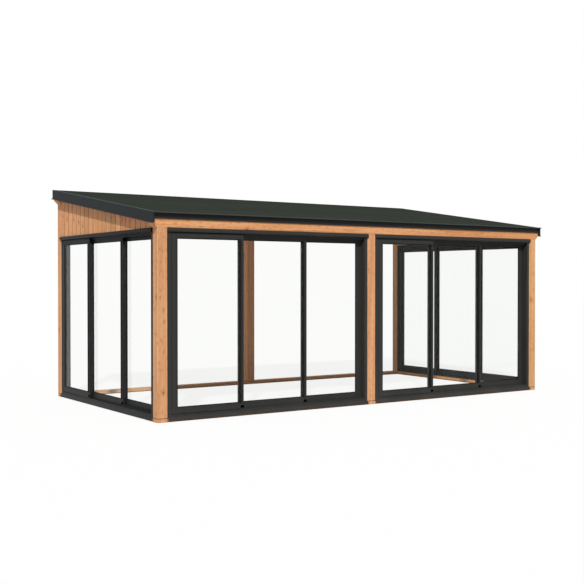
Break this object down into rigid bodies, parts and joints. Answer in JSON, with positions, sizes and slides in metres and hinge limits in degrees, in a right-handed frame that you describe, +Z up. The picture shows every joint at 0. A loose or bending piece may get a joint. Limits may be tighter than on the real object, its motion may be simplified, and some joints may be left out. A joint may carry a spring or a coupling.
{
  "type": "garden house",
  "caption": "Timber garden house with a lean-to roof, glazed sliding doors in the front and both sides, and an open back.",
  "frame": {"origin": "middle of the building's box at ground level", "axes": "+X along the front from the left end to the right end, +Y from the glazed front to the open back, +Z up"},
  "size_m": [6.084, 3.086, 2.7644],
  "materials": {
    "timber": "planed softwood, oiled in a warm honey tone, with fine grain and small knots",
    "gable_boards": "tongue and groove softwood boards set upright, each a little different in tone",
    "roof_boards": "sawn softwood roof boards",
    "frame_metal": "satin anthracite powder coat",
    "leaf_metal": "satin anthracite powder coat",
    "fascia_metal": "satin anthracite coated sheet",
    "felt": "dark green-grey roofing felt, matt, with faint lines across the fall",
    "pane": "clear float glass"
  },
  "bodies": {
    "house": {"front_posts": "timber", "rear_posts": "timber", "post_feet": "timber", "front_beam": "timber", "rear_beam": "timber", "sills": "timber", "side_head_rails": "timber", "rafters": "timber", "roof_deck": "roof_boards", "roof_felt": "felt", "left_gable": "gable_boards", "right_gable": "gable_boards", "front_band": "fascia_metal", "front_drip": "fascia_metal", "left_fascia": "fascia_metal", "right_fascia": "fascia_metal", "rear_fascia": "fascia_metal", "left_bay_frame": "frame_metal", "right_bay_frame": "frame_metal", "left_side_frame": "frame_metal", "right_side_frame": "frame_metal"},
    "left_bay_door_1": {"left_bay_leaf_1": "leaf_metal", "left_bay_glass_1": "pane"},
    "left_bay_door_2": {"left_bay_leaf_2": "leaf_metal", "left_bay_glass_2": "pane"},
    "left_bay_door_3": {"left_bay_leaf_3": "leaf_metal", "left_bay_glass_3": "pane"},
    "right_bay_door_1": {"right_bay_leaf_1": "leaf_metal", "right_bay_glass_1": "pane"},
    "right_bay_door_2": {"right_bay_leaf_2": "leaf_metal", "right_bay_glass_2": "pane"},
    "right_bay_door_3": {"right_bay_leaf_3": "leaf_metal", "right_bay_glass_3": "pane"},
    "left_side_door_1": {"left_side_leaf_1": "leaf_metal", "left_side_glass_1": "pane"},
    "left_side_door_2": {"left_side_leaf_2": "leaf_metal", "left_side_glass_2": "pane"},
    "left_side_door_3": {"left_side_leaf_3": "leaf_metal", "left_side_glass_3": "pane"},
    "right_side_door_1": {"right_side_leaf_1": "leaf_metal", "right_side_glass_1": "pane"},
    "right_side_door_2": {"right_side_leaf_2": "leaf_metal", "right_side_glass_2": "pane"},
    "right_side_door_3": {"right_side_leaf_3": "leaf_metal", "right_side_glass_3": "pane"}
  },
  "joints": [
    {"name": "left_bay_door_1_slide", "type": "slide", "parent": "house", "child": "left_bay_door_1", "axis": [1, 0, 0], "range_m": [0, 1.751]},
    {"name": "left_bay_door_2_slide", "type": "slide", "parent": "house", "child": "left_bay_door_2", "axis": [1, 0, 0], "range_m": [-0.875, 0.842]},
    {"name": "left_bay_door_3_slide", "type": "slide", "parent": "house", "child": "left_bay_door_3", "axis": [1, 0, 0], "range_m": [-1.784, 0]},
    {"name": "right_bay_door_1_slide", "type": "slide", "parent": "house", "child": "right_bay_door_1", "axis": [1, 0, 0], "range_m": [0, 1.751]},
    {"name": "right_bay_door_2_slide", "type": "slide", "parent": "house", "child": "right_bay_door_2", "axis": [1, 0, 0], "range_m": [-0.875, 0.842]},
    {"name": "right_bay_door_3_slide", "type": "slide", "parent": "house", "child": "right_bay_door_3", "axis": [1, 0, 0], "range_m": [-1.784, 0]},
    {"name": "left_side_door_1_slide", "type": "slide", "parent": "house", "child": "left_side_door_1", "axis": [0, -1, 0], "range_m": [0, 1.751]},
    {"name": "left_side_door_2_slide", "type": "slide", "parent": "house", "child": "left_side_door_2", "axis": [0, -1, 0], "range_m": [-0.875, 0.842]},
    {"name": "left_side_door_3_slide", "type": "slide", "parent": "house", "child": "left_side_door_3", "axis": [0, -1, 0], "range_m": [-1.784, 0]},
    {"name": "right_side_door_1_slide", "type": "slide", "parent": "house", "child": "right_side_door_1", "axis": [0, 1, 0], "range_m": [0, 1.751]},
    {"name": "right_side_door_2_slide", "type": "slide", "parent": "house", "child": "right_side_door_2", "axis": [0, 1, 0], "range_m": [-0.875, 0.842]},
    {"name": "right_side_door_3_slide", "type": "slide", "parent": "house", "child": "right_side_door_3", "axis": [0, 1, 0], "range_m": [-1.784, 0]}
  ]
}
